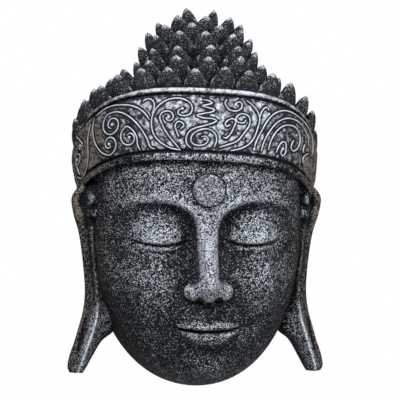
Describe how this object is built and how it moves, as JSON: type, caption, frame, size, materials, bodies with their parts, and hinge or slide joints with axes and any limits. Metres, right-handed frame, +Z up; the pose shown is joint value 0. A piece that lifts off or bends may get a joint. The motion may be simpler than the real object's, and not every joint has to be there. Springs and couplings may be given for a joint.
{
  "type": "buddha head wall plaque",
  "caption": "Half-round carved Buddha head with closed eyes, long ear lobes, scrolled headband and rows of pointed hair buds, flat behind, to hang on a wall",
  "frame": {"origin": "on the flat back, on the middle line, 250 mm above the chin, where the wall holds the head", "axes": "+Z up, the face looks along -Y, +Y goes into the wall, +X is the viewer's right"},
  "size_m": [0.2734, 0.1175, 0.3997],
  "materials": {
    "painted_carving": "carved light wood under black sand paint, brushed over with silver on all high places"
  },
  "bodies": {
    "root": {"buddha_head": "painted_carving"}
  },
  "joints": []
}
